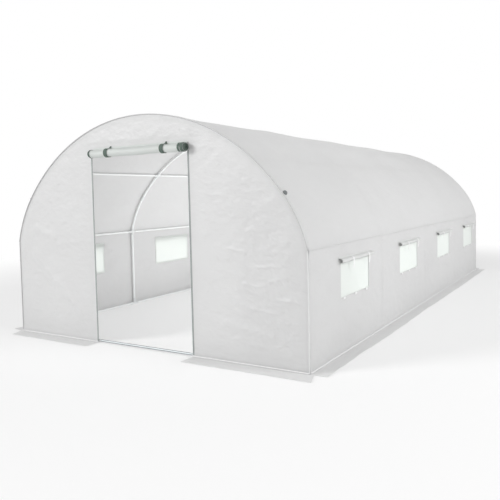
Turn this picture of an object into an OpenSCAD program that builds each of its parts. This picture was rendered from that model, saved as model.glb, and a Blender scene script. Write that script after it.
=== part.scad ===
// Polytunnel greenhouse: five white tube hoops on long rails, a white woven cover with
// four windows in each long side, and a doorway whose door is rolled up over it.
// Millimetres. X runs across the tunnel, Y along it with the doorway at -Y, Z up.
// The origin lies on the ground at the middle of the plan.

/* [Tunnel] */
// Length over the end panels
length = 6000; // [4800:100:7200]
// Width over the side walls
width = 3000; // [2700:20:3200]
// Height of the cover at the ridge
height = 1900; // [1840:10:1980]
// Height of the upright side walls
eave_h = 850; // [790:10:900]
// Number of bays between the hoops
bays = 4; // [2:1:6]
// Angle above level where the tight haunch curve passes into the flatter crown
haunch_end = 37; // [34:1:40]
// Haunch radius as a share of the crown radius
haunch_ratio = 0.63; // [0.55:0.01:0.7]

/* [Frame tubes] */
// Diameter of the hoop tubes
hoop_d = 25; // [22:1:32]
// Diameter of the rails, door posts and sill
rail_d = 19; // [16:1:22]
// Angle above level at which the haunch rails cross the hoops
haunch_rail_angle = 49; // [44:1:60]

/* [Fittings] */
// Wall of every sleeve and socket
sleeve_wall = 2.5; // [2:0.5:4]
// Play between a tube and its sleeve or seat
fit_clear = 0.3; // [0.2:0.1:0.4]
// Play between a bent bow and the straight sleeve it passes through
bow_clear = 0.9; // [0.8:0.1:1]
// Length of a sleeve along the hoop
sleeve_l = 80; // [60:5:85]
// Length of the couplers that join the tubes of a bow
coupler_l = 60; // [40:5:60]
// Reach of a rail socket from the hoop's axis
socket_reach = 55; // [45:5:70]
// Thickness of the web a tube end stops against
stop_web = 3; // [2:0.5:5]
// Height of the base rail sockets off the ground
ground_gap = 1; // [0.5:0.5:5]
// Height of the foot sleeves
foot_h = 75; // [60:5:100]

/* [Cover] */
// Thickness of the cover sheet
cover_t = 3; // [2:0.5:4]
// Width of the ground skirt at the two ends
skirt_end = 150; // [110:10:220]
// Width of the ground skirt along the two sides
skirt_side = 130; // [100:10:200]
// Length of the end skirts beyond the side walls
skirt_lap = 30; // [10:5:60]

/* [Doorway] */
// Clear width of the doorway
door_w = 1010; // [860:10:1100]
// Clear height of the doorway
door_h = 1590; // [1500:10:1620]
// Distance from the doorway edge to the axis of its post
post_inset = 45; // [35:5:60]
// Diameter of the rolled-up door
door_roll_d = 64; // [50:2:80]
// Height of the roll's axis over the top of the doorway
door_roll_rise = 22; // [10:2:40]
// Length of the roll past each edge of the doorway
door_roll_over = 10; // [0:5:30]
// Width of the two door straps
strap_w = 38; // [25:1:50]
// Thickness of the door straps
strap_t = 4; // [3:0.5:6]
// Left strap, distance from the middle of the doorway
strap_left = 285; // [200:5:360]
// Right strap, distance from the middle of the doorway
strap_right = 305; // [200:5:360]
// Width of the zip tapes beside the doorway
zip_w = 14; // [10:1:25]
// Thickness of the zip tapes
zip_t = 2; // [1.5:0.5:3]
// Width of the coiled zip tape at each end of the roll
coil_w = 14; // [8:1:20]

/* [Windows] */
// Width of a window
window_w = 610; // [500:10:640]
// Height of a window
window_h = 295; // [240:5:310]
// Height of the window sills over the ground
window_sill = 438; // [400:2:460]
// Right-hand windows, distance behind the middle of the bay
window_shift_right = 115; // [0:5:120]
// Left-hand windows, distance behind the middle of the bay
window_shift_left = 0; // [0:5:120]
// Width of the sewn edge of a window screen
screen_hem = 15; // [10:1:25]
// Thickness of a window screen
screen_t = 2; // [1.5:0.5:3]
// Diameter of a rolled-up window flap
flap_roll_d = 36; // [28:2:44]
// Length of a rolled flap past each edge of the window
flap_over = 35; // [20:5:40]
// Height of the sewn top edge of a window flap
flap_hem_h = 12; // [8:2:36]
// Width of the flap ties
tie_w = 24; // [12:1:30]
// Thickness of the flap ties and closing tabs
tie_t = 2; // [1.5:0.5:3]
// Length of the loose end of a flap tie
tie_tail = 70; // [40:5:100]
// Width of the closing tabs under a window
tab_w = 40; // [16:2:60]
// Height of the closing tabs
tab_h = 18; // [12:2:40]

/* [Bolts] */
// Diameter of the round knobs that bolt the cover to the front hoop
bolt_d = 36; // [18:1:44]
// Height of the knobs, over half their diameter
bolt_h = 24; // [14:1:32]

/* [Hidden] */
$fn = 64;
// Step of the points along the curved edge of an end panel
arc_step = 1.5;
half_w = width / 2;
half_l = length / 2;
rise = height - eave_h;
// Lean of the hoop off the upright at the eave, from the span, the rise and the two curves
flatness = half_w / rise;
curve_gap = 1 - haunch_ratio;
lean_cos = (flatness * (1 - curve_gap * sin(haunch_end)) - curve_gap * cos(haunch_end))
    / (haunch_ratio * sqrt(1 + flatness * flatness));
eave_lean = atan(flatness) - acos(lean_cos);
crown_r = rise / (haunch_ratio * (sin(haunch_end) - sin(eave_lean)) + 1 - sin(haunch_end));
haunch_r = haunch_ratio * crown_r;
crown_z = height - crown_r;
haunch_x = half_w - haunch_r * cos(eave_lean);
haunch_z = eave_h - haunch_r * sin(eave_lean);
// Sleeves and sockets
leg_bore_r = hoop_d / 2 + fit_clear;
bow_bore_r = hoop_d / 2 + bow_clear;
leg_sleeve_r = leg_bore_r + sleeve_wall;
sleeve_r = bow_bore_r + sleeve_wall;
sleeve_sag = sleeve_l * sleeve_l / (8 * crown_r);
rail_bore_r = rail_d / 2 + fit_clear;
socket_r = rail_bore_r + sleeve_wall;
rail_stop = bow_bore_r + stop_web;
rail_end = rail_stop + fit_clear;
// The hoop's axis lies inside the cover by its sleeve, so the cover bears on the fittings
axis_inset = cover_t + fit_clear + sleeve_r + sleeve_sag;
crown_axis_r = crown_r - axis_inset;
haunch_axis_r = haunch_r - axis_inset;
leg_x = half_w - axis_inset;
eave_z = eave_h - axis_inset * sin(eave_lean);
first_y = axis_inset - half_l;
bay_l = (length - 2 * axis_inset) / bays;
base_z = socket_r + ground_gap;
skirt_in_x = half_w - cover_t - fit_clear;
crown_top_z = crown_z + crown_axis_r;
post_x = door_w / 2 + post_inset;
post_angle = acos(post_x / crown_axis_r);
post_top_z = crown_z + crown_axis_r * sin(post_angle);
lintel_z = door_h + socket_r + 2 * fit_clear;
window_top = window_sill + window_h;
door_roll_y = -half_l - zip_t - strap_t - 2 * fit_clear - door_roll_d / 2;
door_roll_z = door_h + door_roll_rise;
door_roll_l = door_w + 2 * door_roll_over;
flap_x = half_w + tie_t + 2 * fit_clear + flap_roll_d / 2;
flap_l = window_w + 2 * flap_over;
flap_z = window_top - flap_roll_d / 4;

HOOPS = [for (k = [1 : bays + 1]) str("hoop_", k)];

function hoop_y(k) = first_y + (k - 1) * bay_l;
function rail_sides(k) = [if (k > 1) -1, if (k <= bays) 1];
function arc_points(x, z, r, from, to) =
    let (n = ceil((to - from) / arc_step))
    [for (k = [0 : n]) let (a = from + (to - from) * k / n) [x + r * cos(a), z + r * sin(a)]];
function arc_of(len, r) = len / r * 180 / PI;
function window_y(side, k) =
    (k - (bays + 1) / 2) * length / bays + (side > 0 ? window_shift_right : window_shift_left);

module white_steel() color("#f2f3f3") children();
module grey_steel() color("#b9bdbd") children();
module white_plastic() color("#e6e8e8") children();
module cover_white() color("#dfe2e2") children();
module screen_white() color("#f6f8f6") children();
module roll_white() color("#cfd5d1") children();
module dark_webbing() color("#5a6b62") children();
module zip_grey() color("#9a9d9d") children();

// Turns a right-hand piece into its left-hand twin
module on_side(side) mirror([side < 0 ? 1 : 0, 0, 0]) children();

// Sweeps a flat section along an arc that stands in the X-Z plane
module arc_sweep(x, z, from, to)
    translate([x, 0, z]) rotate([90, 0, 0]) rotate([0, 0, from])
        rotate_extrude(angle = to - from) children();

module along_x(side, h, r)
    rotate([0, side * 90, 0]) cylinder(h = h, r = r);

module along_y(side, h, r)
    rotate([-side * 90, 0, 0]) cylinder(h = h, r = r);

// One tube of a long rail in every bay, at a place in the X-Z plane
module rail_run(x, z)
    for (k = [1 : bays])
        translate([x, hoop_y(k) + rail_end, z]) along_y(1, bay_l - 2 * rail_end, rail_d / 2);

module rail_sockets(k)
    for (side = rail_sides(k)) along_y(side, socket_reach, socket_r);

module rail_bores(k)
    for (side = rail_sides(k))
        translate([0, side * rail_stop, 0]) along_y(side, socket_reach, rail_bore_r);

module ridge_rail() white_steel() rail_run(0, crown_top_z);

module haunch_rail(side) white_steel()
    rail_run(
        side * crown_axis_r * cos(haunch_rail_angle),
        crown_z + crown_axis_r * sin(haunch_rail_angle));

module eave_rail(side) white_steel() rail_run(side * leg_x, eave_z);

module base_rail(side) white_steel() rail_run(side * leg_x, base_z);

// A hoop: two upright legs, two haunch tubes and a crown tube, end to end in their fittings
module hoop(k) white_steel() translate([0, hoop_y(k), 0]) {
    bow_gap = arc_of(stop_web + fit_clear, haunch_axis_r);
    crown_trim = arc_of(fit_clear, crown_axis_r);
    haunch_trim = arc_of(fit_clear, haunch_axis_r);
    for (side = [-1, 1]) on_side(side) {
        translate([leg_x, 0, stop_web + fit_clear])
            cylinder(h = eave_z - 2 * (stop_web + fit_clear), d = hoop_d);
        arc_sweep(haunch_x, haunch_z, eave_lean + bow_gap, haunch_end - haunch_trim)
            translate([haunch_axis_r, 0]) circle(d = hoop_d);
    }
    arc_sweep(0, crown_z, haunch_end + crown_trim, 180 - haunch_end - crown_trim)
        translate([crown_axis_r, 0]) circle(d = hoop_d);
}

// Stands a piece on an arc of the X-Z plane with its own Z along the arc
module on_arc(x, z, r, angle)
    translate([x + r * cos(angle), 0, z + r * sin(angle)]) rotate([0, -angle, 0]) children();

// Cross fitting that slides on the crown of a hoop and takes the rails on both sides
module crown_fitting(k, angle)
    translate([0, hoop_y(k), 0]) on_arc(0, crown_z, crown_axis_r, angle) difference() {
        union() {
            cylinder(h = sleeve_l, r = sleeve_r, center = true);
            rail_sockets(k);
        }
        cylinder(h = 2 * sleeve_l, r = bow_bore_r, center = true);
        rail_bores(k);
    }

// Elbow fitting that joins a leg to the bow and takes the eave rails
module eave_fitting(k) {
    reach = sleeve_l / 2;
    mid_a = eave_lean + arc_of(reach / 2, haunch_axis_r);
    translate([0, hoop_y(k), 0]) difference() {
        union() {
            translate([leg_x, 0, eave_z - reach]) cylinder(h = reach, r = leg_sleeve_r);
            on_arc(haunch_x, haunch_z, haunch_axis_r, mid_a)
                cylinder(h = reach, r = sleeve_r, center = true);
            translate([leg_x, 0, eave_z]) rail_sockets(k);
        }
        translate([leg_x, 0, eave_z - 2 * reach])
            cylinder(h = 2 * reach - stop_web, r = leg_bore_r);
        on_arc(haunch_x, haunch_z, haunch_axis_r, mid_a)
            translate([0, 0, stop_web - reach / 2]) cylinder(h = 2 * reach, r = bow_bore_r);
        translate([leg_x, 0, eave_z]) rail_bores(k);
    }
}

// Foot of a leg with sockets for the base rails, and one across at the end hoops
module foot_fitting(k) {
    is_end = k == 1 || k == bays + 1;
    translate([leg_x, hoop_y(k), 0]) difference() {
        union() {
            cylinder(h = foot_h, r = leg_sleeve_r);
            translate([0, 0, base_z]) rail_sockets(k);
            if (is_end) translate([0, 0, base_z]) along_x(-1, socket_reach, socket_r);
        }
        translate([0, 0, stop_web]) cylinder(h = foot_h, r = leg_bore_r);
        translate([0, 0, base_z]) rail_bores(k);
        if (is_end)
            translate([-rail_stop, 0, base_z]) along_x(-1, socket_reach, rail_bore_r);
    }
}

module ridge_fittings() white_plastic()
    for (k = [1 : bays + 1]) crown_fitting(k, 90);

module haunch_fittings() white_plastic()
    for (side = [-1, 1], k = [1 : bays + 1]) on_side(side) crown_fitting(k, haunch_rail_angle);

module bow_couplers() white_plastic()
    for (side = [-1, 1], k = [1 : bays + 1]) on_side(side) translate([0, hoop_y(k), 0])
        on_arc(0, crown_z, crown_axis_r, haunch_end) difference() {
            cylinder(h = coupler_l, r = sleeve_r, center = true);
            cylinder(h = 2 * coupler_l, r = bow_bore_r, center = true);
        }

module eave_fittings() white_plastic()
    for (side = [-1, 1], k = [1 : bays + 1]) on_side(side) eave_fitting(k);

module foot_fittings() white_plastic()
    for (side = [-1, 1], k = [1 : bays + 1]) on_side(side) foot_fitting(k);

// Outline of the tunnel's end, inset from the outside of the cover
module end_outline(inset) {
    wall_x = half_w - inset;
    eave_a = acos((wall_x - haunch_x) / (haunch_r - inset));
    right = concat(
        [[wall_x, cover_t]],
        arc_points(haunch_x, haunch_z, haunch_r - inset, eave_a, haunch_end),
        arc_points(0, crown_z, crown_r - inset, haunch_end + arc_step, 90));
    left = [for (k = [len(right) - 2 : -1 : 0]) [-right[k][0], right[k][1]]];
    polygon(concat(right, left));
}

// End panel, clipped to a box given by its left, bottom, width and height
module end_panel(left, bottom, w, h)
    translate([0, cover_t, 0]) rotate([90, 0, 0]) linear_extrude(height = cover_t)
        intersection() {
            end_outline(cover_t + fit_clear);
            translate([left, bottom]) square([w, h]);
        }

module front_panel_side(side) cover_white() on_side(side)
    translate([0, -half_l, 0]) end_panel(door_w / 2, 0, half_w - door_w / 2, height);

module front_panel_top() cover_white()
    translate([0, -half_l, 0]) end_panel(-door_w / 2, door_h, door_w, height - door_h);

module rear_panel() cover_white()
    translate([0, half_l - cover_t, 0]) end_panel(-half_w, 0, width, height);

// Roof strip between two angles of one of the roof's curves
module roof_strip(x, z, r, from, to)
    arc_sweep(x, z, from, to)
        translate([r - cover_t, -half_l]) square([cover_t, length]);

module roof_haunch(side) cover_white() on_side(side)
    roof_strip(haunch_x, haunch_z, haunch_r, eave_lean, haunch_end);

module roof_crown(side) cover_white() on_side(side)
    roof_strip(0, crown_z, crown_r, haunch_end, 90);

module wall(side) cover_white() on_side(side) difference() {
    translate([half_w - cover_t, -half_l, cover_t])
        cube([cover_t, length, eave_h - cover_t * sin(eave_lean) - cover_t]);
    for (k = [1 : bays])
        translate([half_w - 2 * cover_t, window_y(side, k) - window_w / 2, window_sill])
            cube([3 * cover_t, window_w, window_h]);
}

module skirt_along(side) cover_white() on_side(side)
    translate([half_w - cover_t, -half_l, 0]) cube([cover_t + skirt_side, length, cover_t]);

// End skirt at the front, tucked under the panel and lapped past the side walls
module skirt_across(from, to, lap_from, lap_to) {
    translate([from, -half_l - skirt_end, 0])
        cube([to - from, skirt_end + cover_t, cover_t]);
    translate([from - lap_from, -half_l - skirt_end, 0])
        cube([to - from + lap_from + lap_to, skirt_end, cover_t]);
}

module skirt_front(side) cover_white() on_side(side)
    skirt_across(door_w / 2, skirt_in_x, 0, half_w + skirt_lap - skirt_in_x);

module skirt_rear() cover_white() mirror([0, 1, 0])
    skirt_across(-skirt_in_x, skirt_in_x, half_w + skirt_lap - skirt_in_x,
        half_w + skirt_lap - skirt_in_x);

module window_screens(side) screen_white() on_side(side)
    for (k = [1 : bays])
        translate([
            half_w - cover_t - screen_t,
            window_y(side, k) - window_w / 2 - screen_hem,
            window_sill - screen_hem])
            cube([screen_t, window_w + 2 * screen_hem, window_h + 2 * screen_hem]);

// Rolled flap with its sewn top edge flat against the wall over the window
module window_flaps(side) roll_white() on_side(side)
    for (k = [1 : bays]) translate([0, window_y(side, k) - flap_l / 2, 0]) {
        translate([flap_x, 0, flap_z]) along_y(1, flap_l, flap_roll_d / 2);
        translate([half_w, 0, flap_z + flap_roll_d / 2 - tie_t])
            cube([flap_x - half_w, flap_l, tie_t]);
        translate([half_w, 0, flap_z + flap_roll_d / 2 - tie_t])
            cube([tie_t, flap_l, flap_hem_h]);
    }

// Band round a rolled flap with a loose end hanging over the window
module flap_tie() {
    band_r = flap_roll_d / 2 + fit_clear;
    translate([flap_x, 0, flap_z]) {
        rotate([90, 0, 0]) translate([0, 0, -tie_w / 2]) difference() {
            cylinder(h = tie_w, r = band_r + tie_t);
            translate([0, 0, -1]) cylinder(h = tie_w + 2, r = band_r);
            translate([-2 * flap_roll_d, 0, -1]) cube([2 * flap_roll_d, flap_roll_d, tie_w + 2]);
        }
        translate([band_r, -tie_w / 2, -tie_tail]) cube([tie_t, tie_w, tie_tail]);
    }
}

module window_ties() white_plastic()
    for (side = [-1, 1], k = [1 : bays], place = [-0.2, 0.38]) on_side(side)
        translate([0, window_y(side, k) + place * window_w, 0]) flap_tie();

module window_tabs() white_plastic()
    for (side = [-1, 1], k = [1 : bays], place = [-0.4, 0, 0.4]) on_side(side)
        translate([half_w, window_y(side, k) + place * window_w - tab_w / 2, window_sill - tab_h])
            cube([tie_t, tab_w, tab_h]);

// Tube fitting on a door post: sleeve up the post with sockets to one or both sides
module post_fitting(z, h, floor_t, sides) translate([0, 0, z]) difference() {
    union() {
        cylinder(h = h, r = socket_r);
        for (side = sides) translate([0, 0, base_z]) along_x(side, socket_reach, socket_r);
    }
    translate([0, 0, floor_t]) cylinder(h = h + 2, r = rail_bore_r);
    for (side = sides)
        translate([side * rail_stop, 0, base_z]) along_x(side, socket_reach, rail_bore_r);
}

// Saddle on the front hoop with a socket for the head of a door post
module post_saddle() difference() {
    union() {
        on_arc(0, crown_z, crown_axis_r, post_angle)
            cylinder(h = sleeve_l, r = sleeve_r, center = true);
        translate([post_x, 0, post_top_z - socket_reach])
            cylinder(h = socket_reach, r = socket_r);
    }
    on_arc(0, crown_z, crown_axis_r, post_angle)
        cylinder(h = 2 * sleeve_l, r = bow_bore_r, center = true);
    translate([post_x, 0, post_top_z - 2 * socket_reach])
        cylinder(h = 2 * socket_reach - rail_stop - stop_web, r = rail_bore_r);
}

module door_fittings() white_plastic() for (side = [-1, 1])
    on_side(side) translate([0, first_y, 0]) {
        translate([post_x, 0, 0]) post_fitting(0, foot_h, stop_web, [-1, 1]);
        translate([post_x, 0, 0]) post_fitting(lintel_z - base_z, 2 * base_z, -1, [-1]);
        post_saddle();
    }

module door_posts() white_steel() for (side = [-1, 1])
    translate([side * post_x, first_y, stop_web + fit_clear])
        cylinder(
            h = post_top_z - rail_stop - 2 * stop_web - 2 * fit_clear, d = rail_d);

module door_lintel() white_steel()
    translate([rail_end - post_x, first_y, lintel_z])
        along_x(1, 2 * (post_x - rail_end), rail_d / 2);

module door_sill() grey_steel()
    translate([rail_end - post_x, first_y, base_z])
        along_x(1, 2 * (post_x - rail_end), rail_d / 2);

module front_base_rails() white_steel() for (side = [-1, 1]) on_side(side)
    translate([post_x + rail_end, first_y, base_z])
        along_x(1, leg_x - post_x - 2 * rail_end, rail_d / 2);

module rear_base_rail() white_steel()
    translate([rail_end - leg_x, -first_y, base_z])
        along_x(1, 2 * (leg_x - rail_end), rail_d / 2);

// Rolled door with the flat neck that is sewn to the panel over the doorway
module door_roll() roll_white() {
    neck_l = -half_l - door_roll_y;
    translate([-door_roll_l / 2, door_roll_y, door_roll_z]) along_x(1, door_roll_l, door_roll_d / 2);
    translate([-door_roll_l / 2, door_roll_y, door_roll_z + door_roll_d / 2 - cover_t])
        cube([door_roll_l, neck_l, cover_t]);
}

// Strap round the roll, open at the top where the door's neck passes
module door_strap() {
    band_r = door_roll_d / 2 + fit_clear;
    translate([0, door_roll_y, door_roll_z]) rotate([0, 90, 0]) difference() {
        cylinder(h = strap_w, r = band_r + strap_t, center = true);
        cylinder(h = strap_w + 2, r = band_r, center = true);
        translate([-2 * door_roll_d, 0, -strap_w]) cube([2 * door_roll_d, 2 * door_roll_d, 2 * strap_w]);
    }
}

module door_straps() dark_webbing() {
    translate([-strap_left, 0, 0]) door_strap();
    translate([strap_right, 0, 0]) door_strap();
}

// The two zip tapes of the door, wound up at the ends of the roll
module door_zip_coils() dark_webbing() for (side = [-1, 1])
    translate([side * (door_roll_l / 2 + fit_clear), door_roll_y, door_roll_z])
        along_x(side, coil_w, door_roll_d / 2 - cover_t);

module door_zips() zip_grey() for (side = [-1, 1]) on_side(side)
    translate([door_w / 2, -half_l - zip_t, cover_t])
        cube([zip_w, zip_t, door_h - cover_t]);

// Round knobs, flat where they bear on the cover, that bolt it to the front hoop
module cover_bolts() zip_grey() for (side = [-1, 1]) on_side(side)
    translate([crown_r * cos(haunch_end), first_y, crown_z + crown_r * sin(haunch_end)])
        rotate([0, 90 - haunch_end, 0]) intersection() {
            translate([0, 0, fit_clear]) cylinder(h = bolt_h, d = bolt_d);
            translate([0, 0, fit_clear + bolt_h - bolt_d / 2]) sphere(d = bolt_d);
        }

for (k = [1 : bays + 1]) hoop(k);
ridge_rail();
haunch_rail(-1);  // haunch_rail_left
haunch_rail(1);  // haunch_rail_right
eave_rail(-1);  // eave_rail_left
eave_rail(1);  // eave_rail_right
base_rail(-1);  // base_rail_left
base_rail(1);  // base_rail_right
front_base_rails();
rear_base_rail();
door_sill();
door_posts();
door_lintel();
ridge_fittings();
haunch_fittings();
bow_couplers();
eave_fittings();
foot_fittings();
door_fittings();
roof_haunch(-1);  // roof_haunch_left
roof_crown(-1);  // roof_crown_left
roof_crown(1);  // roof_crown_right
roof_haunch(1);  // roof_haunch_right
wall(-1);  // wall_left
wall(1);  // wall_right
front_panel_side(-1);  // front_panel_left
front_panel_side(1);  // front_panel_right
front_panel_top();
rear_panel();
skirt_along(-1);  // skirt_left
skirt_along(1);  // skirt_right
skirt_front(-1);  // skirt_front_left
skirt_front(1);  // skirt_front_right
skirt_rear();
window_screens(-1);  // window_screens_left
window_screens(1);  // window_screens_right
window_flaps(-1);  // window_flaps_left
window_flaps(1);  // window_flaps_right
window_ties();
window_tabs();
door_roll();
door_straps();
door_zip_coils();
door_zips();
cover_bolts();
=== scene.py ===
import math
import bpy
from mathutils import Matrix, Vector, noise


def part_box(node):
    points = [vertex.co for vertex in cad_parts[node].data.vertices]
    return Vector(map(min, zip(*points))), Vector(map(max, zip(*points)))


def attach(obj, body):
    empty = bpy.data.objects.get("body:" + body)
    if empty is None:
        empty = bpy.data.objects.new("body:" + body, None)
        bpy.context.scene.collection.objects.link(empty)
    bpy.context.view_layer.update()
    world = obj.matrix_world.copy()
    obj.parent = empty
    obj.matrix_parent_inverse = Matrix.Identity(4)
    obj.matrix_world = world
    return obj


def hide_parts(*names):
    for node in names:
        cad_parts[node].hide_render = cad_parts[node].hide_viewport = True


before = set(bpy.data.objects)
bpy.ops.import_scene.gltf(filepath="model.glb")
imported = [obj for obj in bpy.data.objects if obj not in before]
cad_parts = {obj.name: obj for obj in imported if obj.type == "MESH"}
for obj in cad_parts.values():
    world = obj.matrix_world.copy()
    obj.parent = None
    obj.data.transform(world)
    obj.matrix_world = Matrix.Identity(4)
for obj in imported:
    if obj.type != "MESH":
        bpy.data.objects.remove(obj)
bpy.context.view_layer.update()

# %% [markdown]
# # Polytunnel greenhouse
# A walk-in tunnel of bent white tube under a white woven cover. The CAD model gives the tubes, the
# fittings and the place of every sheet. Here the tubes take their finish, and each sheet of the cover
# is made again as thin cloth with the seams, hems and creases that the eye looks for.

HALF_W, HALF_L, EAVE, RIDGE = 1.5, 3.0, 0.85, 1.9
SHEET_T = 0.0025
UP = (0, 0, 1)
SMOOTH_ANGLE = math.radians(50)
HAUNCH_DEG, RAIL_DEG = 37, 49
HAUNCH_END = math.radians(HAUNCH_DEG)
HAUNCH_SHARE = 0.63
RISE = RIDGE - EAVE
FLATNESS = HALF_W / RISE
CURVE_GAP = 1 - HAUNCH_SHARE
LEAN = math.atan(FLATNESS) - math.acos(
    (FLATNESS * (1 - CURVE_GAP * math.sin(HAUNCH_END)) - CURVE_GAP * math.cos(HAUNCH_END))
    / (HAUNCH_SHARE * math.hypot(1, FLATNESS)))
CROWN_R = RISE / (HAUNCH_SHARE * (math.sin(HAUNCH_END) - math.sin(LEAN)) + 1 - math.sin(HAUNCH_END))
HAUNCH_R = HAUNCH_SHARE * CROWN_R
CROWN_Z = RIDGE - CROWN_R
HAUNCH_X = HALF_W - HAUNCH_R * math.cos(LEAN)
HAUNCH_Z = EAVE - HAUNCH_R * math.sin(LEAN)
HAUNCH_L = HAUNCH_R * (HAUNCH_END - LEAN)
ARCH_L = 2 * (HAUNCH_L + CROWN_R * (math.pi / 2 - HAUNCH_END))
RAIL_S = HAUNCH_L + CROWN_R * math.radians(RAIL_DEG - HAUNCH_DEG)
HOOP_Y = [sum(corner.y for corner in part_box(f"hoop_{k}")) / 2 for k in range(1, 6)]
DOOR_X, DOOR_TOP = 0.505, 1.59
WIN_W, WIN_H, WIN_Z = 0.61, 0.295, 0.438
WIN_Y = {1: [-2.135, -0.635, 0.865, 2.365], -1: [-2.25, -0.75, 0.75, 2.25]}
SIDE_NAME = {1: "right", -1: "left"}
print("arch length", round(ARCH_L, 3), "m, crown radius", round(CROWN_R, 3), "m")

# %% [markdown]
# ## Camera
# The camera stands where the photograph was taken from: a little outside the right wall, in front of
# the doorway end, at chest height and tipped down by three degrees.

# %% camera
scene = bpy.context.scene
CAMERA_AT = (3.213, -6.558, 1.235)
yaw, pitch, roll = (math.radians(turn) for turn in (31.344, 2.901, -1.328))
back = Vector((math.sin(yaw) * math.cos(pitch), -math.cos(yaw) * math.cos(pitch), math.sin(pitch)))
level = Vector((math.cos(yaw), math.sin(yaw), 0))
above = back.cross(level)
across = math.cos(roll) * level + math.sin(roll) * above
upward = math.cos(roll) * above - math.sin(roll) * level
camera = bpy.data.objects.new("camera", bpy.data.cameras.new("camera"))
scene.collection.objects.link(camera)
facing = Matrix((across, upward, back)).transposed().to_4x4()
camera.matrix_world = Matrix.Translation(CAMERA_AT) @ facing
camera.data.lens = 41.99
camera.data.sensor_width = 36
camera.data.shift_y = -0.05
camera.data.clip_end = 400
scene.camera = camera
scene.view_settings.view_transform = "Standard"
print("camera at", [round(v, 2) for v in camera.location])

# %% [markdown]
# ## Materials
# One function turns sRGB hex into linear colour and one adds a node. Patterns use Object coordinates,
# and every piece sits at the origin, so a pattern's scale is in real metres.

# %% colour and node helpers
def linear(code):
    """sRGB hex to linear colour."""
    parts = [int(code[k:k + 2], 16) / 255 for k in (1, 3, 5)]
    return tuple(c / 12.92 if c <= 0.04045 else ((c + 0.055) / 1.055) ** 2.4 for c in parts) + (1.0,)


def add(tree, kind, inputs, **options):
    """A shader node, its options set and its inputs given a constant or joined to another node."""
    node = tree.nodes.new(kind)
    for key, value in options.items():
        setattr(node, key, value)
    for key, value in inputs.items():
        if isinstance(value, bpy.types.NodeSocket):
            tree.links.new(value, node.inputs[key])
        else:
            node.inputs[key].default_value = value
    return node


# %% [markdown]
# ### Woven sheet
# The cover is woven from flat plastic tape about 2.5 mm wide and coated on both faces. Light scatters
# in it, so part of it comes through: that is what makes the inside of the tunnel bright. The weave is
# drawn at 6 mm, coarser than real, since the true one is far below a pixel.

# %% woven sheet
CREASES_PER_M = (12.0, 12.0, 17.0)
WEAVE_DEPTH = 0.0002


def woven(name, colour, shade, through, yarn, crease, roughness):
    """Scattering sheet: tone that drifts, a weave of that pitch and fine level creases."""
    mat = bpy.data.materials.new(name)
    mat.use_nodes = True
    tree = mat.node_tree
    place = add(tree, "ShaderNodeTexCoord", {}).outputs["Object"]
    drift = add(tree, "ShaderNodeTexNoise", {"Vector": place, "Scale": 1.7, "Detail": 4.0})
    tint = add(tree, "ShaderNodeMixRGB", {
        "Fac": drift.outputs[0], "Color1": linear(colour), "Color2": linear(shade)}).outputs[0]
    # A wave texture of scale 1 repeats every tau / 20
    wave_scale = math.tau / (20 * yarn)
    yarns = [add(tree, "ShaderNodeTexWave", {"Vector": place, "Scale": wave_scale}, bands_direction=d)
             for d in ("X", "Y", "Z")]
    pair = add(tree, "ShaderNodeMath", {0: yarns[0].outputs[1], 1: yarns[1].outputs[1]})
    weave = add(tree, "ShaderNodeMath", {0: pair.outputs[0], 1: yarns[2].outputs[1]})
    pulled = add(tree, "ShaderNodeMapping", {"Vector": place, "Scale": CREASES_PER_M})
    folds = add(tree, "ShaderNodeTexNoise", {"Vector": pulled.outputs[0], "Scale": 1.0, "Detail": 4.0})
    creased = add(tree, "ShaderNodeBump", {
        "Strength": 0.9, "Distance": crease, "Height": folds.outputs[0]})
    bumped = add(tree, "ShaderNodeBump", {
        "Strength": 0.2, "Distance": WEAVE_DEPTH, "Height": weave.outputs[0],
        "Normal": creased.outputs[0]})
    shader = tree.nodes["Principled BSDF"]
    tree.links.new(tint, shader.inputs["Base Color"])
    tree.links.new(bumped.outputs[0], shader.inputs["Normal"])
    shader.inputs["Roughness"].default_value = roughness
    shader.inputs["IOR"].default_value = 1.5
    glow = add(tree, "ShaderNodeBsdfTranslucent", {"Color": tint, "Normal": bumped.outputs[0]})
    both = add(tree, "ShaderNodeMixShader", {0: through, 1: shader.outputs[0], 2: glow.outputs[0]})
    tree.links.new(both.outputs[0], tree.nodes["Material Output"].inputs[0])
    return mat


# Coated white polyethylene: pale and even, with soft highlights
cover_sheet = woven("woven_polyethylene_white", "#e7e7e7", "#e1e1e1", 0.33, 0.006, 0.0065, 0.42)
# The same sheet lying on the ground looks paler, with light off the floor in it
skirt_sheet = woven("woven_polyethylene_skirt", "#eaeaea", "#e3e3e3", 0.1, 0.006, 0.005, 0.55)
# Rolled sheet looks greener and darker, because light crosses many layers
roll_sheet = woven("woven_polyethylene_rolled", "#e6e9e7", "#dbdfdc", 0.3, 0.006, 0.003, 0.5)
# Rolled flaps are paler than the cover sheet: painted light, lifting the shade on the small roll. They
# are still a little greyer than their ties, so the ties show on them
flap_sheet_painted_light = woven("woven_polyethylene_flap_painted_light", "#ecedec", "#e4e5e4", 0.25, 0.006, 0.003, 0.5)
# Knitted insect mesh, about 1.5 mm a hole and drawn at 5 mm: the brightest part of the wall
window_mesh = woven("knitted_mesh_white", "#f8faf8", "#f4f7f5", 0.6, 0.005, 0.001, 0.8)
# White and dark-green woven webbing with a 2 mm rib, drawn at 4 mm
white_web = woven("polypropylene_webbing_white", "#fdfdfd", "#f8f8f8", 0.1, 0.004, 0.001, 0.7)
dark_web = woven("polypropylene_webbing_green_grey", "#5f6f66", "#4c5a53", 0.05, 0.004, 0.001, 0.75)
print("woven materials", len(bpy.data.materials))

# %% [markdown]
# ### Tube, moulded plastic and zip
# Powder-coated steel has a faint orange-peel skin, moulded fittings a finer one. The sill is bare
# galvanised tube with cloudy spangle. Zip tape and bolt heads are grey.

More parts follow.
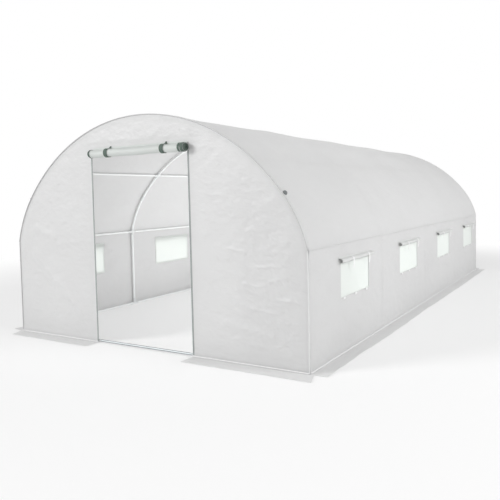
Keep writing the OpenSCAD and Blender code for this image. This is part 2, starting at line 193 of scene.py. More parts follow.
# %% hard materials
def skin(name, colour, shade, roughness, metallic, grain, depth):
    """Coloured hard surface: tone that drifts and a grain of that size and depth."""
    mat = bpy.data.materials.new(name)
    mat.use_nodes = True
    tree = mat.node_tree
    place = add(tree, "ShaderNodeTexCoord", {}).outputs["Object"]
    drift = add(tree, "ShaderNodeTexNoise", {"Vector": place, "Scale": 9.0, "Detail": 3.0})
    tint = add(tree, "ShaderNodeMixRGB", {
        "Fac": drift.outputs[0], "Color1": linear(colour), "Color2": linear(shade)})
    peel = add(tree, "ShaderNodeTexNoise", {"Vector": place, "Scale": 1 / grain, "Detail": 2.0})
    bump = add(tree, "ShaderNodeBump", {"Strength": 0.3, "Distance": depth, "Height": peel.outputs[0]})
    shader = tree.nodes["Principled BSDF"]
    tree.links.new(tint.outputs[0], shader.inputs["Base Color"])
    tree.links.new(bump.outputs[0], shader.inputs["Normal"])
    shader.inputs["Roughness"].default_value = roughness
    shader.inputs["Metallic"].default_value = metallic
    shader.inputs["IOR"].default_value = 1.5
    return mat


# Powder-coated tube: a thin bright line along each hoop and rail
white_tube = skin("powder_coated_steel_white", "#fbfcfc", "#f5f7f7", 0.35, 0.0, 0.004, 0.0002)
# Bare zinc: the grey line of the sill, with a dull sheen
grey_tube = skin("galvanised_steel", "#b4b8b9", "#9ea3a5", 0.45, 0.8, 0.012, 0.0002)
# Moulded plastic: a shade duller than the tube it holds
white_plastic = skin("moulded_plastic_white", "#eff1f1", "#e6e9e9", 0.45, 0.0, 0.002, 0.0001)
# Vinyl cord: the grey line that draws the arch; its grey is painted shade, for the shaded edge of the
# roof at the seam
binding = skin("vinyl_binding_painted_shade_grey", "#c6c6c6", "#bcbcbc", 0.5, 0.0, 0.003, 0.0002)
# White welt: a thin pale line along the foot
welt_white = skin("vinyl_welt_white", "#e8e8e8", "#e2e2e2", 0.6, 0.0, 0.003, 0.0002)
# Corner piping: near the cover's own tone, so the corner shows as a soft edge
welt_pale = skin("vinyl_piping_pale", "#e0e0e0", "#dadada", 0.6, 0.0, 0.003, 0.0002)
# Zip tape: the thin grey line up each side of the doorway
zip_tape = skin("zip_tape_grey", "#a3a8a7", "#959a99", 0.7, 0.0, 0.002, 0.0002)
# Moulded grey plastic: one dark dot on each shoulder of the arch
bolt_head = skin("moulded_plastic_grey", "#737878", "#666b6b", 0.5, 0.0, 0.002, 0.0001)

# %% [markdown]
# ## The frame keeps its CAD shape
# Hoops, rails, posts, fittings and bolts are already right, so they only take their finish.

# %% finish on the CAD nodes
finishes = {"white_tube": white_tube, "grey_tube": grey_tube,
            "white_plastic": white_plastic, "bolt_head": bolt_head}
kept = {f"hoop_{k}": "white_tube" for k in range(1, 6)}
kept.update({name: "white_tube" for name in (
    "ridge_rail", "haunch_rail_left", "haunch_rail_right", "eave_rail_left", "eave_rail_right",
    "base_rail_left", "base_rail_right", "front_base_rails", "rear_base_rail",
    "door_posts", "door_lintel")})
kept.update({name: "white_plastic" for name in (
    "ridge_fittings", "haunch_fittings", "bow_couplers", "eave_fittings", "foot_fittings",
    "door_fittings")})
kept.update({"door_sill": "grey_tube", "cover_bolts": "bolt_head"})
for name, slot in kept.items():
    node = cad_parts[name]
    node.data.materials.clear()
    node.data.materials.append(finishes[slot])
print("CAD nodes kept:", len(kept))

# %% [markdown]
# ## How a sheet is made
# A sheet starts as a grid of points on the surface the frame gives it, with each point pushed out by
# its seams and creases. Faces are left out where a window or the doorway is cut. Solidify then gives
# it a thickness away from its outer face.

# %% sheet helpers
def bare():
    """Object mode and nothing selected."""
    if bpy.context.mode != "OBJECT":
        bpy.ops.object.mode_set(mode="OBJECT")
    bpy.ops.object.select_all(action="DESELECT")


def lines(stops, step):
    """Grid lines through every stop, about one step apart."""
    found = []
    for a, b in zip(stops, stops[1:]):
        count = max(1, round((b - a) / step))
        found += [a + (b - a) * k / count for k in range(count)]
    return found + [stops[-1]]


def smooth(value, start, end):
    """0 before the start, 1 past the end and an S-curve between."""
    t = min(1.0, max(0.0, (value - start) / (end - start)))
    return t * t * (3 - 2 * t)


def bead(value, middle, half):
    """Rounded ridge, 1 at its middle and 0 past its half width."""
    return max(0.0, 1 - ((value - middle) / half) ** 2)


def fold(u, v, layer):
    """Fold lines of a packed sheet: 1 on the line and 0 away from it."""
    return 1 - min(1.0, 2.2 * abs(noise.noise((u, v, layer))))


def cloth(name, rows, material, thickness, outward=None, keep=None):
    """Closed sheet through a grid of points; keep(i, j) says which cells are cloth."""
    bare()
    wide = len(rows[0])
    cells = [i * wide + j for i in range(len(rows) - 1) for j in range(wide - 1)
             if keep is None or keep(i, j)]
    faces = [(k, k + 1, k + wide + 1, k + wide) for k in cells]
    used = {k: n for n, k in enumerate(sorted({k for face in faces for k in face}))}
    points = [rows[k // wide][k % wide] for k in used]
    mesh = bpy.data.meshes.new(name)
    mesh.from_pydata(points, [], [[used[k] for k in face] for face in faces])
    mesh.update()
    if outward and sum(p.normal.dot(Vector(outward)) * p.area for p in mesh.polygons) < 0:
        mesh.flip_normals()
    piece = bpy.data.objects.new(name, mesh)
    scene.collection.objects.link(piece)
    piece.select_set(True)
    bpy.context.view_layer.objects.active = piece
    bpy.ops.object.modifier_add(type="SOLIDIFY")
    piece.modifiers[-1].thickness = thickness
    piece.modifiers[-1].offset = -1
    bpy.ops.object.modifier_apply(modifier=piece.modifiers[-1].name)
    bpy.ops.object.shade_smooth_by_angle(angle=SMOOTH_ANGLE)
    piece.data.materials.append(material)
    return piece


def settle(piece, slot, *nodes):
    """The piece rides on the one body and stands for its CAD nodes; its slot is not used."""
    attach(piece, "root")
    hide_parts(*nodes)
    print(piece.name, "faces", len(piece.data.polygons))
    return piece


# %% [markdown]
# ## Roof
# One sheet is thrown over all five hoops. It is tight on the hoops and rails and hangs a few
# millimetres between them, so each hoop shows as a faint line. It is gathered a little at the eave.

# %% roof sheet
def arch(s):
    """Point and outward direction on the roof's curve, s metres up from the right eave."""
    if s > ARCH_L / 2:
        x, z, nx, nz = arch(ARCH_L - s)
        return -x, z, -nx, nz
    if s < HAUNCH_L:
        a, r, x, z = LEAN + s / HAUNCH_R, HAUNCH_R, HAUNCH_X, HAUNCH_Z
    else:
        a, r, x, z = HAUNCH_END + (s - HAUNCH_L) / CROWN_R, CROWN_R, 0.0, CROWN_Z
    return x + r * math.cos(a), z + r * math.sin(a), math.cos(a), math.sin(a)


def between(value, stops):
    """Half a sine wave from each stop to the next, 0 on the stops and outside them."""
    for a, b in zip(stops, stops[1:]):
        if a <= value <= b:
            return math.sin(math.pi * (value - a) / (b - a))
    return 0.0


ROOF_STEP, ROOF_SAG, HOOP_RIDGE, HOOP_REACH = 0.026, 0.010, 0.0020, 0.018
HEM_Y = (2.965, 2.985, HALF_L)


def roof_push(s, y):
    """How far the roof's cloth stands off its curve."""
    low = min(s, ARCH_L - s)
    off_rails = between(low, [0.0, RAIL_S, ARCH_L / 2])
    sag = ROOF_SAG * between(y, HOOP_Y) * (0.35 + 0.45 * off_rails)
    over_hoop = max(math.exp(-((y - h) / HOOP_REACH) ** 2) for h in HOOP_Y)
    gather = 0.003 * fold(y * 8, s * 3, 2.0) * math.exp(-low / 0.05)
    hem = 0.0015 * bead(HALF_L - abs(y), 0.02, 0.012) + 0.0005 * bead(low, 0.012, 0.010)
    crease = 0.0030 * fold(y * 1.6, s * 2.1, 6.0)
    return HOOP_RIDGE * over_hoop + gather + hem + crease - sag


roof_s = lines([0.0, 0.012, 0.024, ARCH_L - 0.024, ARCH_L - 0.012, ARCH_L], ROOF_STEP)
roof_y = lines([-y for y in reversed(HEM_Y)] + list(HEM_Y), ROOF_STEP)
roof_rows = []
for y in roof_y:
    row = []
    for s in roof_s:
        x, z, nx, nz = arch(s)
        push = roof_push(s, y)
        row.append((x + nx * push, y, z + nz * push))
    roof_rows.append(row)
roof = settle(cloth("roof_sheet", roof_rows, cover_sheet, SHEET_T, (0, 0, 1)), "cover_sheet",
              "roof_haunch_left", "roof_crown_left", "roof_crown_right", "roof_haunch_right")

# %% [markdown]
# ## Side walls
# Each wall is sewn to the roof along the eave and has four windows. A stitched border runs round each
# window, two seams follow each leg, and a pocket along the foot holds the base rail.

# %% side walls
WALL_STEP, WIN_BORDER, SEAM_OFF = 0.0135, 0.02, 0.014


def wall_push(side, y, z):
    """How far a wall's cloth stands out, calmer by a window."""
    near, border = 1.0, 0.0
    for middle in WIN_Y[side]:
        out = max(abs(y - middle) - WIN_W / 2, WIN_Z - z, z - WIN_Z - WIN_H)
        near = min(near, 0.2 + 0.8 * smooth(out, 0.03, 0.14))
        border = max(border, 1 - smooth(out, 0.016, 0.022))
    seams = sum(bead(y, h + d, 0.006) for h in HOOP_Y[1:-1] for d in (-SEAM_OFF, SEAM_OFF))
    gather = 0.003 * fold(y * 9, z * 3, 3.0) * math.exp((z - EAVE) / 0.05)
    slack = 0.0034 * fold(y * 2.6 + z * 1.4, z * 5.5, 8.0) + 0.0012 * fold(y * 7, z * 12, 4.0)
    foot = 0.002 * bead(z, 0.032, 0.020)
    lap = 0.0006 * bead(z, 0.838, 0.012)
    return near * (slack + gather) + 0.0012 * border + 0.0018 * min(1.0, seams) + foot + lap


for side in (1, -1):
    half = WIN_W / 2
    edges = [v for m in WIN_Y[side]
             for v in (m - half - WIN_BORDER, m - half, m + half, m + half + WIN_BORDER)]
    seam_stops = [h + d for h in HOOP_Y[1:-1]
                  for d in (-0.02, -SEAM_OFF, -0.008, 0.008, SEAM_OFF, 0.02)]
    wall_y = lines(sorted([-HALF_L, HALF_L] + edges + seam_stops), WALL_STEP)
    wall_z = lines([0.004, 0.012, 0.022, 0.032, 0.042, 0.052, WIN_Z - WIN_BORDER, WIN_Z,
                    WIN_Z + WIN_H, WIN_Z + WIN_H + WIN_BORDER, 0.826, 0.832, 0.838, 0.844, 0.8492],
                   WALL_STEP)
    rows = [[(side * (HALF_W + wall_push(side, y, z)), y, z) for y in wall_y] for z in wall_z]
    open_cell = lambda i, j: not (
        WIN_Z < (wall_z[i] + wall_z[i + 1]) / 2 < WIN_Z + WIN_H
        and any(abs((wall_y[j] + wall_y[j + 1]) / 2 - m) < WIN_W / 2 for m in WIN_Y[side]))
    name = SIDE_NAME[side]
    wall = settle(cloth(f"wall_sheet_{name}", rows, cover_sheet, SHEET_T, (side, 0, 0), open_cell),
                  "cover_sheet", f"wall_{name}")

# %% [markdown]
# ## End panels
# The front panel is one cut round the doorway. It was packed flat, so sharp level creases cross it,
# strongest by the right corner, and it lies smooth beside the zips. The rear panel is plain.

# %% end panels
def arch_z(x, inset):
    """Height of the tunnel's outline over a point of its width."""
    x = abs(x)
    if x < CROWN_R * math.cos(HAUNCH_END):
        return CROWN_Z + math.sqrt((CROWN_R - inset) ** 2 - x * x)
    return HAUNCH_Z + math.sqrt((HAUNCH_R - inset) ** 2 - (x - HAUNCH_X) ** 2)


FRONT_STEP, REAR_STEP, TOP_ROWS, REAR_ROWS, SLICE = 0.0105, 0.015, 22, 100, 0.01
END_INSET, FOOT_Z = 0.0033, 0.004
END_X = HALF_W - END_INSET
SPLIT_SHARE = (DOOR_TOP - FOOT_Z) / (arch_z(DOOR_X, END_INSET) - FOOT_Z)


# Ends of the hardest creases, most by the front's right corner, and of the soft ones, most on its left
CREASES = (
    (1.365, 0.620, 1.460, 0.585), (1.10, 0.72, 1.28, 0.735), (1.20, 0.62, 1.34, 0.66),
    (0.98, 0.60, 1.12, 0.575), (1.25, 0.50, 1.42, 0.49), (1.05, 0.42, 1.22, 0.40),
    (0.85, 0.85, 1.00, 0.83), (-1.16, 0.52, -1.08, 0.47), (-0.82, 0.31, -0.72, 0.28))
SOFT_CREASES = (
    (-1.28, 0.73, -1.00, 0.49), (-1.02, 0.52, -0.70, 0.24), (-1.24, 0.98, -1.02, 0.90),
    (0.82, 0.30, 1.20, 0.22))


def off_line(x, z, ends):
    """Distance from a point to a straight crease."""
    x0, z0, x1, z1 = ends
    t = ((x - x0) * (x1 - x0) + (z - z0) * (z1 - z0)) / ((x1 - x0) ** 2 + (z1 - z0) ** 2)
    t = min(1.0, max(0.0, t))
    return math.hypot(x - x0 - t * (x1 - x0), z - z0 - t * (z1 - z0))


def end_push(x, z, corner):
    """How far an end's cloth stands out; corner is 1 on the front, with its creases, and 0 behind."""
    edge = min(arch_z(x, END_INSET) - z, END_X - abs(x))
    calm = smooth(abs(x), 0.53, 0.68) if z < 1.7 else 1.0
    u = x + 0.15 * noise.noise((x * 1.1, z * 1.1, 3.0))
    v = z + 0.08 * noise.noise((x * 1.6, z * 1.2, 9.0))
    folds = (0.5 * fold(u * 4.2, v * 7.5, 1.7) + 0.3 * fold(u * 11, v * 17, 5.1)
             + 0.2 * fold(u * 20, v * 29, 2.3))
    depth = 0.0042 + corner * 0.0068 * smooth(x, 0.70, 1.35) * (1 - smooth(z, 0.9, 1.5))
    sharp = 0.005 * max(math.exp(-(off_line(x, z, c) / 0.010) ** 2) for c in CREASES)
    soft = 0.006 * max(math.exp(-(off_line(x, z, c) / 0.035) ** 2) for c in SOFT_CREASES)
    piping = 0.0014 * bead(abs(x), 1.452, 0.009) + 0.002 * bead(abs(x), 1.480, 0.010)
    hem = 0.0015 * bead(edge, 0.020, 0.010)
    packed = depth * folds * max(0.15, calm) * smooth(edge, 0.0, 0.18) * smooth(z, 0.01, 0.16)
    pocket = 0.002 * bead(z, 0.032, 0.022)
    return packed + corner * max(sharp, soft) + max(piping, hem) + pocket


front_x = lines([-END_X, -1.49, -1.44, -0.535, -0.519, -DOOR_X,
                 DOOR_X, 0.519, 0.535, 1.44, 1.49, END_X], FRONT_STEP)
lower = [(z - FOOT_Z) / (DOOR_TOP - FOOT_Z) for z in lines([FOOT_Z, 0.06, DOOR_TOP], FRONT_STEP)]
upper = [k / TOP_ROWS for k in range(1, TOP_ROWS + 1)]


def front_z(x, k):
    """Height of grid row k: the rows fan out so that one runs along the doorway's top."""
    top = arch_z(x, END_INSET)
    split = DOOR_TOP if abs(x) <= DOOR_X else FOOT_Z + SPLIT_SHARE * (top - FOOT_Z)
    if k < len(lower):
        return FOOT_Z + lower[k] * (split - FOOT_Z)
    return split + upper[k - len(lower)] * (top - split)


rows = []
for k in range(len(lower) + len(upper)):
    heights = [front_z(x, k) for x in front_x]
    rows.append([(x, -HALF_L - end_push(x, z, 1.0), z) for x, z in zip(front_x, heights)])
front = settle(cloth("front_sheet", rows, cover_sheet, SHEET_T, (0, -1, 0),
                     lambda i, j: i >= len(lower) - 1 or abs(front_x[j] + front_x[j + 1]) / 2 > DOOR_X),
               "cover_sheet", "front_panel_left", "front_panel_right", "front_panel_top")
rear_x = lines([-END_X, -1.49, -1.44, 1.44, 1.49, END_X], REAR_STEP)
rows = []
for k in range(REAR_ROWS + 1):
    heights = [FOOT_Z + k / REAR_ROWS * (arch_z(x, END_INSET) - FOOT_Z) for x in rear_x]
    rows.append([(x, HALF_L + end_push(x, z, 0.0), z) for x, z in zip(rear_x, heights)])
rear = settle(cloth("rear_sheet", rows, cover_sheet, SHEET_T, (0, 1, 0)), "cover_sheet", "rear_panel")

# %% [markdown]
# ## Ground skirts
# Strips welded to the foot of the cover lie on the ground, to be weighted or dug in. Their free edge
# wanders and lifts a little.

# %% skirts
SEWN_X, SEWN_Y, SKIRT_END = 1.4985, 2.9985, 1.53
SKIRT_X, SKIRT_FRONT, SKIRT_REAR = 1.63, -3.158, 3.15
SKIRT_Z, SKIRT_T = 0.0035, 0.002
# The outer ends of the front strips both lie askew to the right
SLANT = {1: 0.32, -1: 0.5}


def skirt(name, inner, outer, along, place):
    """Strip from inner to outer, along a line, with its free edge wandering."""
    rows = []
    for a in along:
        wander = 0.010 * noise.noise((a * 1.3, outer, 4.0)) + 0.004 * noise.noise((a * 6, outer, 2.0))
        row = []
        for t in lines([0.0, 0.08, 0.2, 1.0], 0.12):
            lift = (0.009 * t * max(0.0, noise.noise((a * 3.1, t * 1.5, outer)))
                    + 0.003 * fold(a * 5, t * 3, 1.0) * t)
            reach = inner + (outer - inner) * t + (1 if outer > inner else -1) * wander * t
            row.append(place(reach, a, SKIRT_Z + lift))
        rows.append(row)
    piece = settle(cloth(name, rows, skirt_sheet, SKIRT_T, UP), "cover_sheet",
                   name.replace("_sheet", ""))


for side in (1, -1):
    name = SIDE_NAME[side]
    skirt(f"skirt_{name}_sheet", side * SEWN_X, side * SKIRT_X, lines([-HALF_L, HALF_L], 0.025),
          lambda p, a, z: (p, a, z))
    ends = sorted((side * DOOR_X, side * SKIRT_END))
    slant = SLANT[side]
    skirt(f"skirt_front_{name}_sheet", -SEWN_Y, SKIRT_FRONT, lines(ends, 0.02),
          lambda p, a, z: (a + slant * (-SEWN_Y - p) * smooth(abs(a), 1.2, SKIRT_END), p, z))
skirt("skirt_rear_sheet", SEWN_Y, SKIRT_REAR, lines([-SKIRT_END, SKIRT_END], 0.025),
      lambda p, a, z: (a, p, z))

# %% [markdown]
# ## Binding and welts
# A vinyl cord is sewn into the seam where roof and end meet. Its grey is painted shade, for the shaded
# edge of the roof along the seam. A ring of points at the right eave is spun round each curve in turn.
# White welts close the upright corners and the foot, where the cover is welded to its skirts: there a
# ring is extruded along the straight.

# %% arch binding
def tube_end(piece, material):
    """Closes the open ends of a tube of points, turns its normals out and smooths it."""
    bpy.ops.mesh.select_all(action="SELECT")
    bpy.ops.mesh.fill_holes(sides=0)
    bpy.ops.mesh.normals_make_consistent(inside=False)
    bpy.ops.object.mode_set(mode="OBJECT")
    bpy.ops.object.shade_smooth_by_angle(angle=SMOOTH_ANGLE)
    piece.data.materials.append(material)
    return piece


def tube_start(name, radius, at, turn):
    """A ring of ten points, in edit mode and selected."""
    bare()
    bpy.ops.mesh.primitive_circle_add(vertices=10, radius=radius, location=at, rotation=turn)
    bpy.context.active_object.name = name
    bpy.ops.object.transform_apply(location=True, rotation=True, scale=True)
    bpy.ops.object.mode_set(mode="EDIT")
    bpy.ops.mesh.select_all(action="SELECT")
    return bpy.context.active_object


BINDING_R, BINDING_OUT = 0.0042, 0.003
curves = ((12, HAUNCH_END - LEAN, HAUNCH_X, HAUNCH_Z),
          (64, math.pi - 2 * HAUNCH_END, 0, CROWN_Z),
          (12, HAUNCH_END - LEAN, -HAUNCH_X, HAUNCH_Z))
start_x, start_z, _, _ = arch(0.0)
for name, y in (("front", -HALF_L - BINDING_OUT), ("rear", HALF_L + BINDING_OUT)):
    cord = tube_start(f"arch_binding_{name}", BINDING_R, (start_x, y, start_z), (0, -LEAN, 0))
    for steps, turn, x, z in curves:
        bpy.ops.mesh.spin(steps=steps, angle=turn, center=(x, y, z), axis=(0, 1, 0))
    settle(tube_end(cord, binding), "cover_sheet")

# %% corner and foot welts
def welt(at, along, radius, material):
    """Straight round strip from a point, along a direction."""
    turn = Vector((0, 0, 1)).rotation_difference(Vector(along)).to_euler()
    strip = tube_start("welt", radius, at, turn)
    bpy.ops.mesh.extrude_region_move(TRANSFORM_OT_translate={"value": along})
    return tube_end(strip, material)


def joined(name, parts):
    """One piece made of several."""
    bare()
    for part in parts:
        part.select_set(True)
    bpy.context.view_layer.objects.active = parts[0]
    bpy.ops.object.join()
    parts[0].name = name
    return parts[0]


CORNER_X, CORNER_Y, CORNER_R = 1.499, 3.004, 0.004
WELT_X, WELT_Y, WELT_Z, WELT_R, WELT_END = 1.5045, 3.0065, 0.0095, 0.006, 1.497
WELT_DOOR, WELT_FRONT_L = 0.507, 0.99
piping = [welt((x, y, 0.007), (0, 0, EAVE - 0.012), CORNER_R, welt_pale)
          for x in (-CORNER_X, CORNER_X) for y in (-CORNER_Y, CORNER_Y)]
settle(joined("corner_piping", piping), "cover_sheet")
runs = [((x, -HALF_L, WELT_Z), (0, 2 * HALF_L, 0)) for x in (-WELT_X, WELT_X)]
runs += [((x, -WELT_Y, WELT_Z), (WELT_FRONT_L, 0, 0)) for x in (-WELT_END, WELT_DOOR)]
runs.append(((-WELT_END, WELT_Y, WELT_Z), (2 * WELT_END, 0, 0)))
welts = [welt(at, along, WELT_R, welt_white) for at, along in runs]
settle(joined("cover_welts", welts), "cover_sheet")

# %% [markdown]
# ## Windows
# Each window is a stretched mesh screen behind its opening. Its flap is rolled up over it, three and a
# half turns of sheet, and two white ties hold the roll, with loose ends hanging. Three tabs along the
# sill would fasten the flap when it is let down.

# %% windows
MESH_X, MESH_SEWN, MESH_SAG, MESH_T = 1.4968, 0.015, 0.004, 0.0012
FLAP_X, FLAP_Z, FLAP_L, FLAP_T = 1.5206, 0.724, 0.68, 0.0012
FLAP_R, FLAP_CORE, FLAP_TURNS = 0.0177, 0.0045, 3.5
TIE_R, TIE_W, TAIL_L, TAIL_STRAY, WEB_T = 0.0197, 0.024, 0.07, 0.005, 0.0014
TAB_X, TAB_W, TAB_H = 1.5030, 0.040, 0.018
# Ties and tabs are placed by shares of the window's width; the flap hangs between the two ties
TIE_AT, TAB_AT, TIES_HOLD = (-0.2, 0.38), (-0.4, 0.0, 0.4), (-0.122, 0.232)


def wound(middle, neck, start, turns, outer, inner, steps):
    """Path of a rolled sheet: the flat neck, then turns that wind inwards."""
    path = list(neck)
    count = int(abs(turns) * steps)
    for k in range(count + 1):
        t = k / count
        a, r = start + math.tau * turns * t, outer + (inner - outer) * t
        path.append((middle[0] + r * math.cos(a), middle[1] + r * math.sin(a)))
    return path


def ring(middle, radius, start, end, count):
    """Points on an arc, angles in degrees."""
    angles = [math.radians(start + (end - start) * k / count) for k in range(count + 1)]
    return [(middle[0] + radius * math.cos(a), middle[1] + radius * math.sin(a)) for a in angles]


flap_neck = [(1.5026, 0.7520), (1.5027, 0.7475), (1.5060, 0.7430), (1.5130, 0.7420)]
flap_path = wound((FLAP_X, FLAP_Z), flap_neck, math.pi / 2, -FLAP_TURNS, FLAP_R, FLAP_CORE, 22)
tie_path = ring((FLAP_X, FLAP_Z), TIE_R, 88, -172, 22)
tail_path = [(FLAP_X + TIE_R + 0.004 * t * (1 - t) - 0.006 * t * t, FLAP_Z - TAIL_L * t)
             for t in (0, 0.2, 0.4, 0.6, 0.8, 1.0)]
for side in (1, -1):
    for number, middle in enumerate(WIN_Y[side], 1):
        wall_name = SIDE_NAME[side]
        name = f"{wall_name}_{number}"
        wide, tall = WIN_W / 2 + MESH_SEWN, MESH_SEWN
        span_y, span_z = [middle - wide, middle + wide], [WIN_Z - tall, WIN_Z + WIN_H + tall]
        mesh_y, mesh_z = lines(span_y, 0.02), lines(span_z, 0.02)
        rows = [[(side * (MESH_X - MESH_SAG * between(y, span_y) * between(z, span_z)), y, z)
                 for y in mesh_y] for z in mesh_z]
        screen = settle(cloth(f"window_mesh_{name}", rows, window_mesh, MESH_T, (side, 0, 0)),
                        "window_mesh", f"window_screens_{wall_name}")
        rows = []
        flap_ends = [middle - FLAP_L / 2, middle + FLAP_L / 2]
        held = [flap_ends[0], *(middle + tie for tie in TIES_HOLD), flap_ends[1]]
        for y in lines(flap_ends, 0.02):
            swell = 1 + 0.05 * noise.noise((y * 9, side * 3.0, 1.0))
            drop = 0.003 * between(y, held)
            row = []
            for x, z in flap_path:
                on_roll = smooth(x, 1.503, 1.512)
                row.append((side * (x + on_roll * (swell - 1) * (x - FLAP_X)), y,
                            z + on_roll * ((swell - 1) * (z - FLAP_Z) - drop)))
            rows.append(row)
        flap = settle(cloth(f"window_flap_{name}", rows, flap_sheet_painted_light, FLAP_T), "rolled_sheet",
                      f"window_flaps_{wall_name}")
        strips = []
        for place in TIE_AT:
            at = middle + place * WIN_W
            for path, stray in ((tie_path, 0.0), (tail_path, TAIL_STRAY)):
                rows = [[(side * x, at + w + stray * (FLAP_Z - z) / TAIL_L, z) for x, z in path]
                        for w in lines([-TIE_W / 2, TIE_W / 2], 0.008)]
                strips.append(cloth(f"tie_{name}", rows, white_web, WEB_T))
        for place in TAB_AT:
            at = middle + place * WIN_W
            rows = [[(side * (TAB_X + 0.004 * bead(z, WIN_Z - TAB_H / 2, 0.010)), at + w, z)
                     for z in lines([WIN_Z - TAB_H, WIN_Z], 0.004)]
                    for w in lines([-TAB_W / 2, TAB_W / 2], 0.008)]
            strips.append(cloth(f"tab_{name}", rows, white_web, WEB_T, (side, 0, 0)))
        straps = settle(joined(f"window_straps_{name}", strips), "white_webbing",
                        "window_ties", "window_tabs")

# %% [markdown]
# ## Rolled-up door
# The door is sewn over the doorway and rolled up outwards, twelve turns of sheet. Two green-grey straps
# carry it. The zip tapes along its edges wind up with it, so a dark coil shows at each end.

# %% door roll, straps and coils
ROLL_Y, ROLL_Z, ROLL_R, ROLL_CORE, ROLL_TURNS, ROLL_T = -3.0386, 1.612, 0.0315, 0.006, 12, 0.0009
ROLL_LEFT, ROLL_RIGHT = -0.478, 0.512
STRAP_X, STRAP_R, STRAP_W, STRAP_T = (-0.285, 0.305), 0.0372, 0.036, 0.0022
COIL_R, COIL_CORE, COIL_TURNS, COIL_W, COIL_T = 0.0290, 0.0075, 5, 0.014, 0.0020
TAPE_R, TAPE_T = 0.0352, 0.0016
door_neck = [(-3.0040, 1.662), (-3.0042, 1.654), (-3.0080, 1.6465), (-3.0200, 1.6445),
             (-3.0300, 1.6440)]
door_path = wound((ROLL_Y, ROLL_Z), door_neck, math.pi / 2, ROLL_TURNS, ROLL_R, ROLL_CORE, 26)
rows = []
for x in lines([ROLL_LEFT, ROLL_RIGHT], 0.02):
    swell = 1 + 0.05 * noise.noise((x * 6, 2.0, 1.0)) + 0.02 * noise.noise((x * 19, 5.0, 1.0))
    drop = 0.006 * between(x, [ROLL_LEFT, *STRAP_X, ROLL_RIGHT])
    row = []
    for y, z in door_path:
        on_roll = smooth(-y, 3.006, 3.024)
        row.append((x, y + on_roll * (swell - 1) * (y - ROLL_Y),
                    z + on_roll * ((swell - 1) * (z - ROLL_Z) - drop)))
    rows.append(row)
door = settle(cloth("door_rolled_sheet", rows, roll_sheet, ROLL_T), "rolled_sheet", "door_roll")
strap_neck = [(-3.0050, 1.668), (-3.0054, 1.662), (-3.0110, 1.6555), (-3.0230, 1.6510)]
strap_path = strap_neck + ring((ROLL_Y, ROLL_Z), STRAP_R, 98, 338, 28)
strips = []
for middle in STRAP_X:
    rows = [[(middle + w * (0.4 + 0.6 * smooth(k, 0, 5)), y, z) for k, (y, z) in enumerate(strap_path)]
            for w in lines([-STRAP_W / 2, STRAP_W / 2], 0.009)]
    strips.append(cloth("strap", rows, dark_web, STRAP_T))
straps = settle(joined("door_roll_straps", strips), "dark_webbing", "door_straps")
coil_path = wound((ROLL_Y, ROLL_Z), [], math.pi / 2, COIL_TURNS, COIL_R, COIL_CORE, 26)
strips = []
for start in (ROLL_LEFT - 0.0145, ROLL_RIGHT + 0.0005):
    rows = [[(start + w, y, z) for y, z in coil_path] for w in lines([0.0, COIL_W], 0.007)]
    strips.append(cloth("coil", rows, dark_web, COIL_T))
tape_ring = ring((ROLL_Y, ROLL_Z), TAPE_R, 80, 430, 36)
for start, wide in ((ROLL_LEFT, 0.010), (0.460, 0.018), (0.486, 0.026)):
    rows = [[(start + w, y, z) for y, z in tape_ring] for w in lines([0.0, wide], 0.008)]
    strips.append(cloth("tape", rows, dark_web, TAPE_T))
coils = settle(joined("door_zip_tape_coils", strips), "dark_webbing", "door_zip_coils")

# %% [markdown]
# ## Door zips
# A zip runs up each side of the doorway. The tape is a bevelled strip, and one tooth is repeated along
# its inner edge.

# %% zips
ZIP_AT, ZIP_SIZE, ZIP_BEVEL = (0.512, -3.0012, 0.797), (0.014, 0.0016, 1.582), 0.0005
TOOTH_AT, TOOTH_SIZE = (0.5072, -3.0026, 0.010), (0.0044, 0.0018, 0.0024)
TOOTH_PITCH, TEETH = 0.004, 392


def block(side, at, size):
    """A box on one side of the doorway, its size applied."""
    bare()
    bpy.ops.mesh.primitive_cube_add(size=1, location=(side * at[0], at[1], at[2]), scale=size)
    bpy.ops.object.transform_apply(location=True, rotation=True, scale=True)
    return bpy.context.active_object


for side in (1, -1):
    tape = block(side, ZIP_AT, ZIP_SIZE)
    bpy.ops.object.mode_set(mode="EDIT")
    bpy.ops.mesh.select_all(action="SELECT")
    bpy.ops.mesh.bevel(offset=ZIP_BEVEL, segments=1, affect="EDGES")
    bpy.ops.object.mode_set(mode="OBJECT")
    tooth = block(side, TOOTH_AT, TOOTH_SIZE)
    bpy.ops.object.modifier_add(type="ARRAY")
    row = tooth.modifiers[-1]
    row.use_relative_offset = False
    row.use_constant_offset = True
    row.constant_offset_displace = (0, 0, TOOTH_PITCH)
    row.count = TEETH
    bpy.ops.object.modifier_apply(modifier=row.name)
    strip = joined(f"door_zip_{SIDE_NAME[side]}", [tape, tooth])
    strip.data.materials.append(zip_tape)
    settle(strip, "zip_tape", "door_zips")

# %% [markdown]
# ## Stage
# A pale floor takes a faint shadow, since a part of its light is its own, and turns to plain white
# further out, where it meets the white backdrop. The light is even, with a large lamp from the front
# left above, a second from the right, and two weak ones inside: one faces up like light off the
# ground, one faces the left wall.

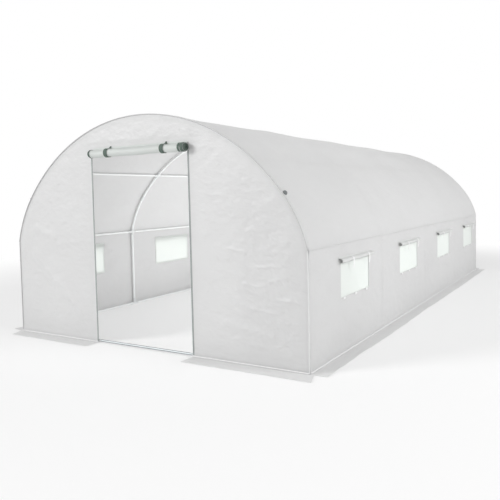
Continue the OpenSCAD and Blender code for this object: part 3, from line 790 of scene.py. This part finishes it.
# %% floor, backdrop and light
FLOOR_GLOW, FADE_START, FADE_END, SKY = 0.32, 4.0, 8.0, 0.55
bare()
bpy.ops.mesh.primitive_plane_add(size=160, location=(0, 0, -0.001))
floor = bpy.context.active_object
floor.name = "floor"
ground = bpy.data.materials.new("studio_floor_white")
ground.use_nodes = True
tree = ground.node_tree
place = add(tree, "ShaderNodeTexCoord", {}).outputs["Object"]
reach = add(tree, "ShaderNodeVectorMath", {0: place}, operation="LENGTH").outputs["Value"]
fade = add(tree, "ShaderNodeMapRange", {
    "Value": reach, "From Min": FADE_START, "From Max": FADE_END, "To Min": FLOOR_GLOW},
    interpolation_type="SMOOTHSTEP")
matt = tree.nodes["Principled BSDF"]
matt.inputs["Base Color"].default_value = linear("#f8f8f8")
matt.inputs["Roughness"].default_value = 0.9
white = add(tree, "ShaderNodeEmission", {"Color": (1, 1, 1, 1), "Strength": 1.0})
turned = add(tree, "ShaderNodeMixShader", {
    0: fade.outputs[0], 1: matt.outputs[0], 2: white.outputs[0]})
tree.links.new(turned.outputs[0], tree.nodes["Material Output"].inputs[0])
floor.data.materials.append(ground)

world = bpy.data.worlds.new("studio")
scene.world = world
world.use_nodes = True
tree = world.node_tree
path = add(tree, "ShaderNodeLightPath", {})
seen = add(tree, "ShaderNodeMath", {
    0: path.outputs["Is Camera Ray"], 1: path.outputs["Is Glossy Ray"]})
seen = add(tree, "ShaderNodeMath", {
    0: seen.outputs[0], 1: path.outputs["Is Transmission Ray"]}, use_clamp=True)
sky = add(tree, "ShaderNodeBackground", {"Color": (1, 1, 1, 1), "Strength": SKY})
backdrop = add(tree, "ShaderNodeBackground", {"Color": (1, 1, 1, 1), "Strength": 1.0})
shown = add(tree, "ShaderNodeMixShader", {0: seen.outputs[0], 1: sky.outputs[0], 2: backdrop.outputs[0]})
tree.links.new(shown.outputs[0], tree.nodes["World Output"].inputs[0])


def lamp(name, at, aim, wide, tall, power):
    """Area lamp that faces a point and doesn't show itself."""
    data = bpy.data.lights.new(name, "AREA")
    data.shape, data.size, data.size_y, data.energy = "RECTANGLE", wide, tall, power
    light = bpy.data.objects.new(name, data)
    scene.collection.objects.link(light)
    light.location = at
    light.rotation_euler = (Vector(aim) - Vector(at)).to_track_quat("-Z", "Y").to_euler()
    light.visible_camera = False


lamp("key", (-19.0, -25.0, 12.5), (0, -2.0, 0.9), 10.0, 10.0, 5300)
lamp("fill", (13.0, -2.0, 7.0), (1.0, 0, 0.8), 5.0, 4.0, 800)
lamp("inside", (0, 0.5, 0.03), (0, 0.5, 2), 1.4, 4.6, 29)
lamp("inside_right", (1.0, -0.6, 0.8), (-1.5, -0.6, 0.8), 4.6, 1.5, 16)
print("lamps", len(bpy.data.lights))
